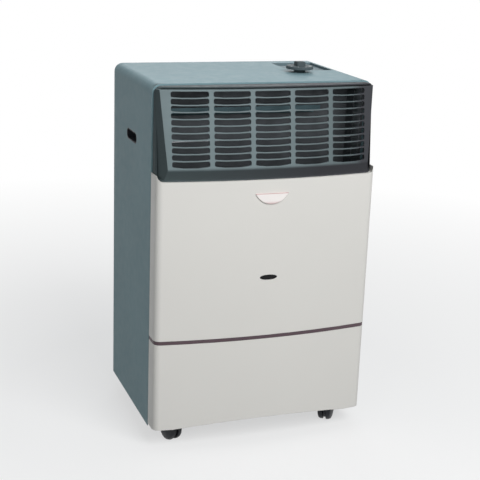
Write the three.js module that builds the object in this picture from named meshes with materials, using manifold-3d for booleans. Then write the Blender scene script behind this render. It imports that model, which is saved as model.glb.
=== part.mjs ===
// Portable gas cabinet heater on four twin-wheel casters: a folded steel cabinet with a bowed front,
// a moulded louvre grille, a blue-flame burner behind it, a gas valve under the top and a rear hood
// that lifts off its hooks to let a gas bottle in. Millimetres, +Z up, the front faces -Y.
import * as THREE from 'three';
import { mergeVertices } from 'three/addons/utils/BufferGeometryUtils.js';
import Module from 'manifold-3d';

const wasm = await Module();
wasm.setup();

// ---------------------------------------------------------------- driving dimensions
const width = 460;            // cabinet, side to side
const sheetTop = 740;         // top of the cabinet sheet above the floor
const groundGap = 35;         // floor to the lower edge of the sides
const sideDepth = 297;        // rear edge of the sheet to its front edge
const bezelBow = 40;          // front edge of the sheet to the crown of the bezel's top edge
const cornerRadius = 25;      // upright corners of the bezel, seen from above
const panelSide = 29;         // front edge of the sheet to the corners of the front panels
const panelBow = 59.5;        // front edge of the sheet to the crown of the front panels
const panelCorner = 15;       // upright corners of the front panels, seen from above
const edgeRadius = 17.5;      // long rounded edges between the top and the sides
const sheet = 1.2;            // steel sheet thickness
const seat = 0.3;             // clearance between pieces that rest on each other
const seam = 2;               // visible joint between the sheet and the front panels
const flangeWidth = 18;       // folded edge round the rear opening
const lipWidth = 15;          // folded edge round the front opening

const trimLow = 227;          // lower edge of the trim strip
const trimHeight = 7.4;
const trimThick = 3;
const trimInset = 0.4;
const panelBottom = 42;       // lower edge of the lower front panel, at its ends
const panelArch = 11;         // rise of that edge in the middle
const panelTop = 558;         // joint between the upper front panel and the grille
const panelReturn = 14;       // folded edges of the front panels
const panelTab = 10;          // side tabs that seat a front panel on the cabinet

const badgeWidth = 69;        // half-moon plate
const badgeRise = 21.5;
const badgeDrop = 27;         // panel top edge down to the plate
const badgeThick = 1.8;
const windowWidth = 36.5;     // oval flame window
const windowHeight = 10;
const windowZ = 358;
const windowThick = 2.4;
const windowFlange = 4;

const bezelInset = 2.5;       // grille bezel inside the outline of the cabinet
const bezelLean = 17;         // how far the bezel's lower edge stands in front of its upper edge
const bezelGap = 4.5;         // dark joint between the sheet and the bezel
const bezelFoot = 12;         // radius of the bezel's lower corners
const rimWidth = 2.5;         // raised rim round the bezel
const grooveTop = 2.5;        // groove above the louvre block
const grooveDepth = 9;
const wall = 3;               // moulded walls of the grille
const noseReach = 22;         // how far the louvre block stands proud at its lower edge
const noseRise = 24;          // panel joint up to that lower edge
const footReach = 13;         // how far the foot of its underside stands proud
const blockInset = 17;        // ends of the louvre block, inside the cabinet's sides
const blockDraft = 0.5;       // slope of those ends
const bladeDepth = 4;         // louvre slats, front to back
const slotRows = 11;
const slotColumns = 5;
const slatThick = 2.5;        // between two rows of slots
const mullion = 9;            // between two columns
const slotCorner = 3.2;
const slotDip = 1.3;          // sag of a slot's lower edge
const slotSag = 0.8;          // sag of its upper edge
const slotBelly = 2.2;        // sag of the lowest edge of the field
const blockSteps = 10;        // straight pieces in the bowed louvre face
const fieldDrop = 11;         // top of the cabinet down to the highest row of slots
const fieldRise = 29.4;       // panel joint up to the lowest row
const fieldInset = 28.75;     // slots inside the cabinet's sides

const trayClear = 12;         // top of the wheels up to the bottle tray
const trayFlange = 14;
const ringRadius = 152;       // pressed ring that centres the gas bottle
const ringWidth = 6;
const ringHeight = 3;
const bottleGap = 5;          // that ring to the heat shield

const hoodDepth = 72;         // how far the rear hood stands out
const hoodWidth = 400;        // bulge of the hood
const hoodLow = 60;           // the bulge starts below the tray, so that the bottle can stand in it
const hoodDrop = 50;          // top of the cabinet down to the top of the bulge
const hoodRim = 20;           // flat rim round the bulge
const hoodRound = 22;
const hookWidth = 8;
const hookLift = 14;          // how far the hood lifts before its hooks come free
const hookStem = 8;
const hookRise = 170;         // lower hooks above the floor
const hookDrop = 120;         // upper hooks below the top of the cabinet
const ventWidth = 110;
const ventHeight = 7;
const ventPitch = 22;
const ventGap = 20;           // between the two columns of vents
const ventLow = 55;           // lower vents above the lower edge of the bulge
const ventHigh = 100;         // upper vents below its upper edge

const gripDepth = 149;        // side grips: centre, in front of the rear edge
const gripDrop = 127.5;       // top of the cabinet down to their middle
const gripLength = 78;
const gripHeight = 22;
const gripReach = 24;
const gripWall = 1.6;

const recessLow = 30;         // control recess: rear edge and front edge
const recessHigh = 150;
const recessInset = 20;       // right edge of the recess inside the cabinet's side
const recessWidth = 96;
const recessDrop = 5;
const knobInset = 105;        // gas valve, collar and knob share this axis, inside the right side
const knobDepth = 168;
const gripAcross = 19;        // square grip of the knob, and the collar under it
const gripAlong = 20;
const gripRound = 2;
const collarHeight = 7;
const collarNeck = 9;
const skirtRadius = 28.5;
const skirtLift = 6.6;        // top sheet up to the underside of the knob's skirt
const skirtThick = 6.4;
const knobHeight = 21.5;      // top sheet up to the top of the knob
const pushTravel = 3;
const spindleRadius = 4;
const spindleFit = 0.4;
const valveWidth = 52;
const valveDrop = 46;
const camRadius = 15;
const camThick = 6;

const shieldBack = 39;        // heat shield between bottle and burner, behind the front edge of the sheet
const chamberInset = 80;      // chamber, duct and burner inside the cabinet's sides
const ductInset = 35;
const burnerInset = 105;
const burnerNeck = 72;
const chamberReach = 25;      // front of the chamber, in front of the sheet
const chamberLow = 290;
const chamberDrop = 13;       // panel joint down to the top of the chamber
const ductDrop = 9;           // top of the cabinet down to the duct
const ductLipLeft = -117;     // folded lip under the top of the duct
const ductLipRight = 125;
const ductLipDrop = 20;
const baffleDrop = 58;        // top of the cabinet down to the outlet baffle
const baffleHeight = 10;      // its front flange
const baffleRight = 120;
const guardDrop = 115;        // top of the cabinet down to the guard rod across the duct
const guardRadius = 1.5;
const burnerZ = 335;
const burnerBack = 6;         // burner axis behind the front edge of the sheet
const burnerRadius = 16;
const portCount = 10;
const portMargin = 43;        // plain ends of the burner tube, together
const pipeRadius = 4;
const pilotPipeRadius = 2;
const gasInset = 44;          // upright run of the burner supply, inside the right side
const gasRunBack = 72;        // and behind the front edge of the sheet
const pilotInset = 58;        // upright run of the pilot supply, inside the right side
const pilotZ = 286;           // level run of the pilot supply, below the chamber
const pilotFoot = 300;        // lower end of the pilot burner
const pilotGap = 4;           // burner tube to the axis of the pilot group
const pilotPosts = [[0, 3.5], [-14, 3], [14, 2.5]];   // x and radius of pilot burner, electrode, thermocouple

const wheelRadius = 25;       // twin-wheel casters
const wheelWidth = 12;
const wheelOffset = 10.5;     // caster centre to the middle of each wheel
const axleRadius = 2.5;
const trail = 17;             // swivel axis to wheel axle, seen from above
const webThick = 6;
const plateThick = 1.8;
const plateWidth = 42;
const pinRadius = 4;
const hubRadius = 9;
const hubRise = 15;           // wheel axle up to the lower end of the swivel hub
const wheelFaces = 18;        // flats round a wheel, so that it stands on one of them
const casterInset = 46;       // swivel axes inside the cabinet's sides
const casterFront = 18;       // and behind the front edge of the sheet
const casterRear = 48;        // and in front of its rear edge

// ---------------------------------------------------------------- derived places
const half = width / 2;
const frontDepth = sideDepth + bezelBow;
const panelFront = sideDepth + panelBow;
const shieldDepth = sideDepth - shieldBack;
const chamberFront = sideDepth + chamberReach;
const burnerDepth = sideDepth - burnerBack;
const gasRunDepth = sideDepth - gasRunBack;
const pilotDepth = burnerDepth + burnerRadius + pilotGap;
const bottleDepth = shieldDepth - ringRadius - ringWidth - bottleGap;
const rearY = (frontDepth + noseReach - hoodDepth) / 2;    // the box of the object is centred on Y
const hoodHigh = sheetTop - hoodDrop;
const hookHeights = [hookRise, sheetTop - hookDrop];
const gripZ = sheetTop - gripDrop;
const chamberHigh = panelTop - chamberDrop;
const ductTop = sheetTop - ductDrop;
const baffleZ = sheetTop - baffleDrop;
const guardZ = sheetTop - guardDrop;
const chamberWidth = width - 2 * chamberInset;
const ductWidth = width - 2 * ductInset;
const burnerLeft = burnerInset - half;
const burnerRight = half - burnerNeck;
const knobX = half - knobInset;
const gasX = half - gasInset;
const pilotX = half - pilotInset;
const recessRight = half - recessInset;
const recessLeft = recessRight - recessWidth;
const fieldTop = sheetTop - fieldDrop;
const slotPitch = (fieldTop - panelTop - fieldRise + slatThick) / slotRows;
const slotHeight = slotPitch - slatThick;
const columnPitch = (width - 2 * fieldInset + mullion) / slotColumns;
const slotWidth = columnPitch - mullion;
const bezelPlan = bowedPlan(cornerRadius, sideDepth, frontDepth);
const panelPlan = bowedPlan(panelCorner, sideDepth + panelSide, panelFront);
const frontSeat = sideDepth + seat;
const frontEnd = frontDepth + noseReach + 5;               // in front of everything
const valveTop = sheetTop - sheet - 10 - seat;
const valveLow = valveTop - valveDrop + 2;
const outletZ = valveLow + 18;
const inletZ = valveLow + 14;
const trayZ = 2 * wheelRadius + trayClear;                 // underside of the bottle tray
const plateHigh = trayZ - seat;
const hubLow = wheelRadius + hubRise;
const casterX = half - casterInset;
const casters = [
  { name: 'front_left', x: -casterX, depth: sideDepth - casterFront, heading: 15 },
  { name: 'front_right', x: casterX, depth: sideDepth - casterFront, heading: -35 },
  { name: 'rear_left', x: -casterX, depth: casterRear, heading: 165 },
  { name: 'rear_right', x: casterX, depth: casterRear, heading: -150 },
];
const smallSteps = 2;
const arcSteps = 4;           // straight pieces in half of a curve

// ---------------------------------------------------------------- finishes
const finish = (color, roughness, metalness) => new THREE.MeshStandardMaterial({ color, roughness, metalness });
const tealPaint = finish(0x8fa5aa, 0.35, 0);
const creamPaint = finish(0xd8d9d3, 0.35, 0);
const darkPlastic = finish(0x4a545b, 0.45, 0);
const blackPlastic = finish(0x24272c, 0.5, 0);
const trimPlastic = finish(0x5f5055, 0.4, 0);
const silver = finish(0xe6e4e0, 0.35, 0.3);
const darkGlass = finish(0x0c0d10, 0.1, 0);
const galvanised = finish(0x9a9ea0, 0.45, 0.9);
const aluminised = finish(0x8c8f90, 0.5, 0.8);
const brass = finish(0xb58e48, 0.35, 1);
const copper = finish(0xb06a45, 0.35, 1);
const ceramic = finish(0xf0ece2, 0.3, 0);

// ---------------------------------------------------------------- shape helpers

// Turns a closed geometry into a solid, with its faces out.
function solid(geometry) {
  const bare = geometry.clone();
  bare.deleteAttribute('normal');
  bare.deleteAttribute('uv');
  const merged = mergeVertices(bare, 1e-4);
  const corner = (i) => new THREE.Vector3().fromBufferAttribute(merged.attributes.position, i);
  const faces = [];
  let volume = 0;
  for (let i = 0; i < merged.index.count; i += 3) {
    const [a, b, c] = [0, 1, 2].map((k) => merged.index.getX(i + k));
    if (a === b || b === c || c === a) continue;
    faces.push([a, b, c]);
    volume += corner(a).dot(corner(b).cross(corner(c)));
  }
  const triVerts = new Uint32Array(faces.flatMap(([a, b, c]) => (volume > 0 ? [a, b, c] : [a, c, b])));
  const vertProperties = new Float32Array(merged.attributes.position.array);
  return new wasm.Manifold(new wasm.Mesh({ numProp: 3, vertProperties, triVerts }));
}

function fuse(first, ...others) {
  return others.reduce((sum, other) => sum.add(other), first);
}

function cut(first, ...others) {
  return others.reduce((rest, other) => rest.subtract(other), first);
}

function part(name, form, material) {
  const mesh = form.getMesh();
  const geometry = new THREE.BufferGeometry();
  geometry.setAttribute('position', new THREE.BufferAttribute(new Float32Array(mesh.vertProperties), 3));
  geometry.setIndex(new THREE.BufferAttribute(new Uint32Array(mesh.triVerts), 1));
  const piece = new THREE.Mesh(geometry, material);
  piece.name = name;
  return piece;
}

// A place is given by its distance across, its depth in front of the rear edge, and its height.
const place = (x, depth, z) => new THREE.Vector3(x, rearY - depth, z);

// Block between two corners, each given as x, depth and height.
function block(x0, x1, d0, d1, z0, z1) {
  const geometry = new THREE.BoxGeometry(x1 - x0, d1 - d0, z1 - z0);
  geometry.translate((x0 + x1) / 2, rearY - (d0 + d1) / 2, (z0 + z1) / 2);
  return solid(geometry);
}

// Upright prism of a shape drawn in x and depth.
function planPrism(shape, low, high, curveSegments = arcSteps) {
  const settings = { depth: high - low, bevelEnabled: false, curveSegments };
  const geometry = new THREE.ExtrudeGeometry(shape, settings);
  geometry.rotateX(Math.PI);
  geometry.translate(0, rearY, high);
  return solid(geometry);
}

// Level prism of a shape drawn in x and height, from one depth to another.
function frontPrism(shape, from, to, curveSegments = arcSteps) {
  const settings = { depth: to - from, bevelEnabled: false, curveSegments };
  const geometry = new THREE.ExtrudeGeometry(shape, settings);
  geometry.rotateX(Math.PI / 2);
  geometry.translate(0, rearY - from, 0);
  return solid(geometry);
}

// Level prism of a shape drawn in depth and height, from one x to another.
function sidePrism(shape, x0, x1, curveSegments = arcSteps, steps = 1, bend = null) {
  const settings = { depth: x1 - x0, bevelEnabled: false, curveSegments, steps };
  const geometry = new THREE.ExtrudeGeometry(shape, settings);
  const axes = new THREE.Matrix4().makeBasis(
    new THREE.Vector3(0, -1, 0), new THREE.Vector3(0, 0, 1), new THREE.Vector3(-1, 0, 0));
  geometry.applyMatrix4(axes);
  geometry.translate(x1, rearY, 0);
  if (bend) {
    const points = geometry.attributes.position;
    for (let i = 0; i < points.count; i += 1) points.setY(i, points.getY(i) - bend(points.getX(i)));
  }
  return solid(geometry);
}

// Turned piece on an upright axis: the profile lists radius and height.
function turned(profile, x, depth, segments = 24) {
  const geometry = new THREE.LatheGeometry(profile.map(([r, z]) => new THREE.Vector2(r, z)), segments);
  geometry.rotateX(Math.PI / 2);
  geometry.translate(x, rearY - depth, 0);
  return solid(geometry);
}

// Turned piece on a level axis through a place, pointing along a direction.
function turnedAlong(profile, centre, direction, segments = 24) {
  const geometry = new THREE.LatheGeometry(profile.map(([r, t]) => new THREE.Vector2(r, t)), segments);
  const up = new THREE.Vector3(0, 1, 0);
  geometry.applyQuaternion(new THREE.Quaternion().setFromUnitVectors(up, direction.clone().normalize()));
  geometry.translate(centre.x, centre.y, centre.z);
  return solid(geometry);
}

function rod(radius, length, centre, direction, segments = 16) {
  const profile = [[0, -length / 2], [radius, -length / 2], [radius, length / 2], [0, length / 2]];
  return turnedAlong(profile, centre, direction, segments);
}

// Rectangle whose lower and upper corners have their own radii.
function roundedRectangle(x0, x1, y0, y1, lower, upper = lower) {
  const shape = new THREE.Shape();
  shape.moveTo(x0 + lower, y0);
  shape.lineTo(x1 - lower, y0);
  shape.absarc(x1 - lower, y0 + lower, lower, -Math.PI / 2, 0, false);
  shape.lineTo(x1, y1 - upper);
  shape.absarc(x1 - upper, y1 - upper, upper, 0, Math.PI / 2, false);
  shape.lineTo(x0 + upper, y1);
  shape.absarc(x0 + upper, y1 - upper, upper, Math.PI / 2, Math.PI, false);
  shape.lineTo(x0, y0 + lower);
  shape.absarc(x0 + lower, y0 + lower, lower, Math.PI, 1.5 * Math.PI, false);
  return shape;
}

// Folded sheet seen from the front: a top and two sides, drawn inside the cabinet's outline.
function archShape(inset, low) {
  const x = half - inset;
  const top = sheetTop - inset;
  const r = Math.max(edgeRadius - inset, 1);
  const shape = new THREE.Shape();
  shape.moveTo(-x, low);
  shape.lineTo(x, low);
  shape.lineTo(x, top - r);
  shape.absarc(x - r, top - r, r, 0, Math.PI / 2, false);
  shape.lineTo(-x + r, top);
  shape.absarc(-x + r, top - r, r, Math.PI / 2, Math.PI, false);
  shape.closePath();
  return shape;
}

// Outline seen from above: straight sides, round corners and a bowed front that meets them smoothly.
function bowedPlan(radius, side, front) {
  const centre = half - radius;
  const bow = front - side;
  const bowRadius = (centre ** 2 + bow ** 2 - radius ** 2) / (2 * (bow - radius));
  const angle = Math.asin(centre / (bowRadius - radius));
  return { radius, side, front, bowRadius, angle };
}

// That outline, offset inwards and closed at the back; a large offset leaves its corners sharp.
function planShape(outline, inset, back) {
  const { radius, side, front, bowRadius, angle } = outline;
  const shape = new THREE.Shape();
  const x = half - inset;
  const centre = half - radius;
  const sharp = inset >= radius;
  const turn = sharp ? Math.acos(x / (bowRadius - inset)) : Math.PI / 2 - angle;
  shape.moveTo(x, back);
  if (!sharp) {
    shape.lineTo(x, side);
    shape.absarc(centre, side, radius - inset, 0, turn, false);
  }
  shape.absarc(0, front - bowRadius, bowRadius - inset, turn, Math.PI - turn, false);
  if (!sharp) shape.absarc(-centre, side, radius - inset, Math.PI - turn, Math.PI, false);
  shape.lineTo(-x, back);
  shape.closePath();
  return shape;
}

function plan(outline, inset, back, low, high) {
  return planPrism(planShape(outline, inset, back), low, high);
}

// Depth of the bezel's bow at a distance from the middle.
function bowAt(x) {
  const { front, bowRadius } = bezelPlan;
  return front - bowRadius + Math.sqrt(bowRadius ** 2 - x ** 2);
}

// Tube bent through a list of places, with rounded bends.
function pipe(places, radius, bend, steps = 48) {
  const path = new THREE.CurvePath();
  let last = places[0];
  for (let i = 1; i < places.length - 1; i += 1) {
    const into = places[i].clone().sub(places[i - 1]).setLength(bend);
    const out = places[i + 1].clone().sub(places[i]).setLength(bend);
    const before = places[i].clone().sub(into);
    const after = places[i].clone().add(out);
    path.add(new THREE.LineCurve3(last, before));
    path.add(new THREE.QuadraticBezierCurve3(before, places[i], after));
    last = after;
  }
  path.add(new THREE.LineCurve3(last, places[places.length - 1]));
  const section = new THREE.Shape();
  section.absarc(0, 0, radius, 0, 2 * Math.PI, false);
  const settings = { steps, extrudePath: path, curveSegments: 4, bevelEnabled: false };
  return solid(new THREE.ExtrudeGeometry(section, settings));
}

// ---------------------------------------------------------------- cabinet

function gripShape(grow) {
  const x0 = gripDepth - gripLength / 2 - grow;
  const x1 = gripDepth + gripLength / 2 + grow;
  const z0 = gripZ - gripHeight / 2 - grow;
  const z1 = gripZ + gripHeight / 2 + grow;
  return roundedRectangle(x0, x1, z0, z1, gripHeight / 2 + grow - 0.01);
}

function recessShape(grow) {
  return roundedRectangle(recessLeft - grow, recessRight + grow, recessLow - grow, recessHigh + grow, 4 + grow);
}

function cabinetWrap() {
  const low = groundGap;
  const skin = cut(frontPrism(archShape(0, low), 0, sideDepth),
    frontPrism(archShape(sheet, low - 1), -1, sideDepth + 1));
  const rearFlange = cut(frontPrism(archShape(0, low), 0, sheet),
    frontPrism(archShape(flangeWidth, low - 1), -1, sheet + 1));
  const lipLow = trayZ + trayFlange + 3;
  const frontLip = cut(frontPrism(archShape(0, lipLow), sideDepth - sheet, sideDepth),
    frontPrism(archShape(lipWidth, lipLow - 1), sideDepth - sheet - 1, sideDepth + 1));
  const grips = sidePrism(gripShape(seat), -half - 1, half + 1, smallSteps);
  const recess = planPrism(recessShape(seat), sheetTop - 2 * sheet, sheetTop + 1, 1);
  const neckHole = turned(ringProfile(0, collarNeck + seat, sheetTop - 3, sheetTop + 1), knobX, knobDepth);
  const slots = [-1, 1].flatMap((side) => hookHeights.map((z) => {
    const x = side * (half - flangeWidth / 2 - sheet);
    const wide = hookWidth / 2 + 0.6;
    return block(x - wide, x + wide, -1, sheet + 1, z - seat, z + hookStem + hookLift + 1);
  }));
  return cut(fuse(skin, rearFlange, frontLip), grips, recess, neckHole, ...slots);
}

// Closed profile of a ring or, with no inner radius, of a disc.
function ringProfile(inner, outer, low, high) {
  if (inner === 0) return [[0, low], [outer, low], [outer, high], [0, high]];
  return [[inner, low], [outer, low], [outer, high], [inner, high], [inner, low]];
}

function baseTray() {
  const inset = sheet + seat;
  const pan = cut(plan(panelPlan, inset, sheet + seat, trayZ, trayZ + trayFlange),
    plan(panelPlan, inset + sheet, -1, trayZ + sheet, trayZ + trayFlange + 1));
  const x = half - flangeWidth - 2;
  const sill = block(-x, x, seat, 3 * sheet, trayZ, trayZ + sheet);
  const lip = block(-x, x, seat, seat + sheet, trayZ - 10, trayZ + sheet);
  const ring = turned(
    ringProfile(ringRadius, ringRadius + ringWidth, trayZ + sheet / 2, trayZ + sheet + ringHeight),
    0, bottleDepth, 48);
  const inside = plan(panelPlan, inset + sheet, 2, trayZ, trayZ + trayFlange);
  return fuse(pan, sill, lip, ring.intersect(inside));
}

// ---------------------------------------------------------------- bowed front panels

function panelTabs(low, high) {
  return [-1, 1].map((side) => {
    const edge = side * (half - sheet / 2);
    const inner = side * (half - sheet - panelTab);
    return block(Math.min(edge, inner), Math.max(edge, inner), frontSeat, frontSeat + sheet + seam, low, high);
  });
}

function panelShell(low, high, openBelow, openAbove) {
  const back = sideDepth + seam;
  const pocketLow = openBelow ? low - 1 : low + sheet;
  const pocketHigh = openAbove ? high + 1 : high - sheet;
  return cut(plan(panelPlan, 0, back, low, high),
    plan(panelPlan, sheet, back - 5, pocketLow, pocketHigh),
    plan(panelPlan, panelReturn, back - 5, low - 1, high + 1));
}

function lowerFrontPanel() {
  const high = trimLow - seat;
  const tabLow = trayZ + trayFlange + 4;
  const arch = new THREE.Shape();
  const x = half - panelReturn - panelCorner;
  arch.moveTo(-x, panelBottom - 1);
  arch.quadraticCurveTo(0, panelBottom + 2 * panelArch, x, panelBottom - 1);
  arch.closePath();
  const shell = cut(panelShell(panelBottom, high, true, false), frontPrism(arch, sideDepth, frontEnd, 8));
  return fuse(shell, ...panelTabs(tabLow, high));
}

// The bezel's outline seen from the front.
function bezelShape(inset) {
  const x = half - bezelInset - inset;
  const lower = Math.max(bezelFoot - inset, 1);
  const upper = Math.max(edgeRadius - bezelInset - inset, 1);
  return roundedRectangle(-x, x, panelTop + seat + inset, sheetTop - bezelInset - inset, lower, upper);
}

function windowShape(grow) {
  const shape = new THREE.Shape();
  shape.absellipse(0, windowZ, windowWidth / 2 + grow, windowHeight / 2 + grow, 0, 2 * Math.PI, false, 0);
  return shape;
}

function upperFrontPanel() {
  const low = trimLow + trimHeight + seat;
  const horn = panelTop + bezelFoot;
  const outline = roundedRectangle(-half - 1, half + 1, low - 1, horn, 0.5);
  const shell = cut(panelShell(low, horn, false, true),
    frontPrism(bezelShape(-seat), sideDepth - 5, frontEnd));
  const topReturn = cut(plan(panelPlan, 0, sideDepth + seam, panelTop - sheet, panelTop),
    plan(panelPlan, panelReturn, sideDepth - 5, panelTop - sheet - 1, panelTop + 1));
  const hole = frontPrism(windowShape(seat), panelFront - 10, frontEnd, 8);
  const body = fuse(shell, topReturn, ...panelTabs(low, panelTop));
  return cut(body.intersect(frontPrism(outline, sideDepth - 5, frontEnd)), hole);
}

function trimStrip() {
  const low = trimLow;
  const high = trimLow + trimHeight;
  return cut(plan(panelPlan, trimInset, sideDepth + seam, low, high),
    plan(panelPlan, trimInset + trimThick, sideDepth - 5, low - 1, high + 1));
}

function badgePlate() {
  const top = panelTop - badgeDrop;
  const radius = (badgeWidth ** 2 / 4 + badgeRise ** 2) / (2 * badgeRise);
  const angle = Math.asin(badgeWidth / 2 / radius);
  const moon = new THREE.Shape();
  moon.absarc(0, top - badgeRise + radius, radius, -Math.PI / 2 - angle, -Math.PI / 2 + angle, false);
  moon.closePath();
  const layer = cut(plan(panelPlan, -seat - badgeThick, sideDepth, top - badgeRise - 1, top + 1),
    plan(panelPlan, -seat, sideDepth - 5, top - badgeRise - 2, top + 2));
  return layer.intersect(frontPrism(moon, sideDepth, frontEnd, 8));
}

function sightWindow() {
  const low = windowZ - windowHeight;
  const high = windowZ + windowHeight;
  const behind = sheet + seat;
  const lens = cut(plan(panelPlan, -0.6, sideDepth, low, high),
    plan(panelPlan, behind + 0.5, sideDepth - 5, low - 1, high + 1))
    .intersect(frontPrism(windowShape(0), sideDepth, frontEnd, 8));
  const flange = cut(plan(panelPlan, behind, sideDepth, low, high),
    plan(panelPlan, behind + windowThick, sideDepth - 5, low - 1, high + 1))
    .intersect(frontPrism(windowShape(windowFlange), sideDepth, frontEnd, 8));
  return fuse(lens, flange);
}

// ---------------------------------------------------------------- louvre grille

// Side profile of the louvre block: depth in front of the bezel's bow, against height.
function blockProfile(skin, face) {
  const nose = panelTop + noseRise;
  const foot = panelTop + seat + rimWidth;
  const top = sheetTop - bezelInset - rimWidth - grooveTop;
  const back = -grooveDepth - wall - (skin ? 1 : 0);
  const shape = new THREE.Shape();
  shape.moveTo(back, foot + skin);
  shape.lineTo(footReach - skin / 2, foot + skin);
  shape.lineTo(noseReach - 1 - face, nose - 2.5 + skin / 2);
  shape.quadraticCurveTo(noseReach - face, nose - 1 + skin / 2, noseReach - face, nose + 1 + skin / 2);
  shape.lineTo(-face, top - 1 - skin);
  shape.lineTo(-1 - face, top - skin);
  shape.lineTo(back, top - skin);
  shape.closePath();
  return shape;
}

// The louvre block with sloped ends; skin and face are the walls left when it is used as a core.
function louvreBlock(skin, face) {
  const reach = half - bezelInset - rimWidth + 0.5 - skin;
  const body = sidePrism(blockProfile(skin, face), -reach, reach, 2, blockSteps, bowAt);
  const near = sideDepth - 5;
  const endAt = (depth) => half - blockInset - skin - blockDraft * (depth - frontDepth);
  const ends = [-1, 1].map((side) => {
    const shape = new THREE.Shape();
    shape.moveTo(side * endAt(near), near);
    shape.lineTo(side * endAt(frontEnd), frontEnd);
    shape.lineTo(side * width, frontEnd);
    shape.lineTo(side * width, near);
    shape.closePath();
    return planPrism(shape, panelTop - 5, sheetTop + 5);
  });
  return cut(body, ...ends);
}

// One louvre opening: rounded ends, and upper and lower edges that sag in the middle.
function slotShape(x, z, sagAbove, sagBelow) {
  const a = slotWidth / 2;
  const b = slotHeight / 2;
  const r = Math.min(slotCorner, 0.45 * slotHeight);
  const nip = 0.3 * r;
  const belly = 0.4 * a;
  const shape = new THREE.Shape();
  shape.moveTo(x - a + r, z - b);
  shape.lineTo(x - belly, z - b - sagBelow);
  shape.lineTo(x + belly, z - b - sagBelow);
  shape.lineTo(x + a - r, z - b);
  shape.lineTo(x + a - nip, z - b + nip);
  shape.lineTo(x + a, z - b + r);
  shape.lineTo(x + a, z + b - r);
  shape.lineTo(x + a - nip, z + b - nip);
  shape.lineTo(x + a - r, z + b);
  shape.lineTo(x + belly, z + b - sagAbove);
  shape.lineTo(x - belly, z + b - sagAbove);
  shape.lineTo(x - a + r, z + b);
  shape.lineTo(x - a + nip, z + b - nip);
  shape.lineTo(x - a, z + b - r);
  shape.lineTo(x - a, z - b + r);
  shape.lineTo(x - a + nip, z - b + nip);
  shape.closePath();
  return shape;
}

// Upright prism of the bezel's outline, leaning so that its lower edge stands further forward.
function leaningPlan(inset, back) {
  const slope = bezelLean / (sheetTop - panelTop);
  const lean = new THREE.Matrix4().set(1, 0, 0, 0, 0, 1, slope, -slope * sheetTop, 0, 0, 1, 0, 0, 0, 0, 1);
  const leaning = plan(bezelPlan, inset, sideDepth - bezelLean - 5, panelTop, sheetTop).transform(lean.toArray());
  return cut(leaning, block(-width, width, 0, back, panelTop - 1, sheetTop + 1));
}

function louvreGrille() {
  const back = sideDepth + bezelGap;
  const outline = frontPrism(bezelShape(0), sideDepth, frontEnd);
  const opening = frontPrism(bezelShape(rimWidth), sideDepth - 1, frontEnd + 1);
  const rim = cut(leaningPlan(bezelInset, back).intersect(outline), opening);
  const within = frontPrism(bezelShape(rimWidth - 1), sideDepth, frontEnd);
  const floor = cut(leaningPlan(grooveDepth, back), leaningPlan(grooveDepth + wall, back - 1)).intersect(within);
  const body = cut(fuse(rim, floor, louvreBlock(0, 0)), louvreBlock(wall, bladeDepth));
  const holes = [];
  for (let row = 0; row < slotRows; row += 1) {
    const z = fieldTop - slotHeight / 2 - row * slotPitch;
    const sagAbove = row === 0 ? 0 : slotSag;
    const sagBelow = row === slotRows - 1 ? slotBelly : slotDip;
    for (let column = 0; column < slotColumns; column += 1) {
      const x = (column - (slotColumns - 1) / 2) * columnPitch;
      holes.push(frontPrism(slotShape(x, z, sagAbove, sagBelow), frontDepth - 50, frontEnd));
    }
  }
  return cut(body, ...holes);
}

// ---------------------------------------------------------------- grips and controls

function sideGrip(side) {
  const outer = half - 0.1;
  const inner = half - gripReach;
  const flangeOut = half - sheet - seat;
  const [a, b] = side < 0 ? [-outer, -inner] : [inner, outer];
  const [c, d] = side < 0 ? [-flangeOut, -flangeOut + gripWall] : [flangeOut - gripWall, flangeOut];
  const [e, f] = side < 0 ? [-half - 1, -inner - gripWall] : [inner + gripWall, half + 1];
  const cup = fuse(sidePrism(gripShape(0), a, b, smallSteps), sidePrism(gripShape(6), c, d, smallSteps));
  return cut(cup, sidePrism(gripShape(-gripWall), e, f, smallSteps));
}

function controlRecess() {
  const top = sheetTop - 0.1;
  const floor = sheetTop - recessDrop - gripWall;
  const under = sheetTop - sheet - seat;
  const tray = fuse(planPrism(recessShape(0), floor, top, 1), planPrism(recessShape(3), under - gripWall, under, 1));
  return cut(tray, planPrism(recessShape(-gripWall), floor + gripWall, sheetTop + 1, 1));
}

// Square block with rounded corners on the knob's axis.
function squareOnKnob(inset, low, high) {
  const a = gripAcross / 2 - inset;
  const b = gripAlong / 2 - inset;
  return planPrism(roundedRectangle(knobX - a, knobX + a, knobDepth - b, knobDepth + b, gripRound), low, high, 2);
}

function knobCollar() {
  const under = sheetTop - sheet - 10;
  const top = sheetTop + collarHeight;
  const neck = turned(ringProfile(0, collarNeck, under, sheetTop + 1), knobX, knobDepth, 20);
  const bore = turned(ringProfile(0, spindleRadius + spindleFit, under - 1, top + 1), knobX, knobDepth, 16);
  return cut(fuse(neck, squareOnKnob(0, sheetTop + seat, top)), bore);
}

function controlKnob() {
  const low = sheetTop + skirtLift;
  const shoulder = low + skirtThick;
  const top = sheetTop + knobHeight;
  const hollow = Math.hypot(gripAcross, gripAlong) / 2 + seat;
  const ceiling = sheetTop + collarHeight + pushTravel + 0.6;
  const skirt = turned([
    [0, ceiling], [hollow, ceiling], [hollow, low], [skirtRadius - 0.8, low], [skirtRadius, low + 0.8],
    [skirtRadius, shoulder - 1.2], [skirtRadius - 1.2, shoulder], [0, shoulder],
  ], knobX, knobDepth, 28);
  const grip = fuse(squareOnKnob(0, shoulder - 1, top - 1), squareOnKnob(0.8, top - 2, top));
  const socket = turned(ringProfile(0, spindleRadius + seat, ceiling - 1, top - 4), knobX, knobDepth);
  return cut(fuse(skirt, grip), socket);
}

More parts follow.
